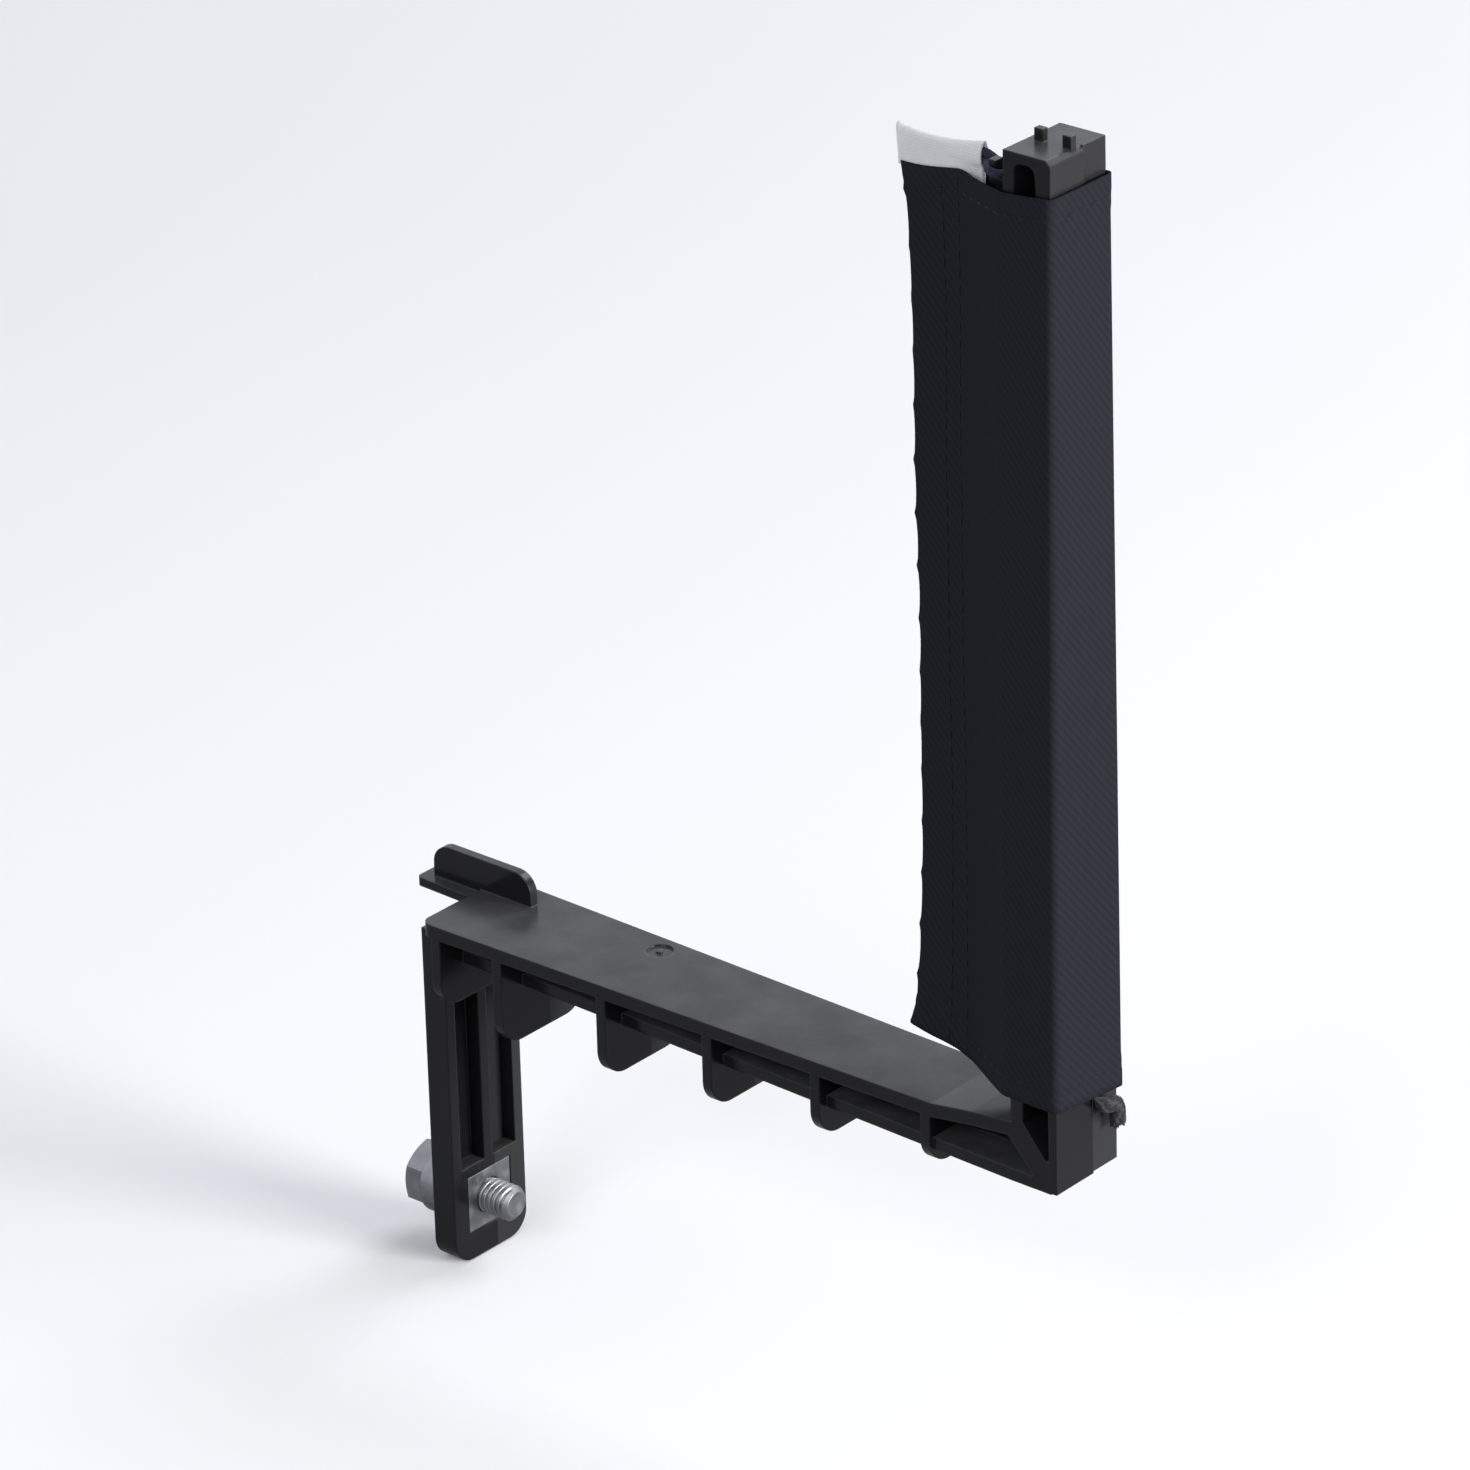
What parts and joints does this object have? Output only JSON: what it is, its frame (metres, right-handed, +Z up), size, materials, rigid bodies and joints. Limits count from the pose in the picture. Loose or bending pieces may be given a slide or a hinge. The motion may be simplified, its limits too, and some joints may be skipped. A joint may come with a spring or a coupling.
{
  "type": "table tennis net clamp",
  "caption": "End support of a table tennis net: ribbed L-shaped arm and post bolted to the table's steel edge, with the net's fabric end pocket over the post.",
  "frame": {"origin": "the seat on the table: level of the tongue's underside, over the middle of the steel edge sheet that the clamp grips, in the plane of the net", "axes": "+X points out from the table along the arm, +Y along the table's side, +Z up along the post"},
  "size_m": [0.1417, 0.02, 0.2218],
  "materials": {
    "moulding": "black moulded plastic, satin to gloss",
    "zinc": "bright zinc plate",
    "twill": "black twill",
    "tape": "white cotton tape",
    "cord": "dark navy cord",
    "braid": "black and grey braid"
  },
  "bodies": {
    "support": {"support_moulding": "moulding", "captive_nut": "zinc"},
    "jaw": {"clamp_washer": "zinc", "lock_washer": "zinc"},
    "bolt": {"clamp_bolt": "zinc"},
    "net_end": {"net_sleeve": "twill", "tape_end": "tape", "top_cord_loop": "cord", "bottom_cord": "braid"}
  },
  "joints": [
    {"name": "jaw_slide", "type": "slide", "parent": "support", "child": "jaw", "axis": [-1, 0, 0], "range_m": [0, 0.005]},
    {"name": "bolt_turn", "type": "hinge", "parent": "jaw", "child": "bolt", "pos_m": [-0.00445, 0, -0.0506], "axis": [-1, 0, 0], "range_deg": [0, 1800.5]},
    {"name": "net_lift", "type": "slide", "parent": "support", "child": "net_end", "axis": [0, 0, 1], "range_m": [0, 0.16]}
  ],
  "couplings": [
    {"joint": "bolt_turn", "follows": "jaw_slide", "rad_per_m": 6283.2}
  ]
}
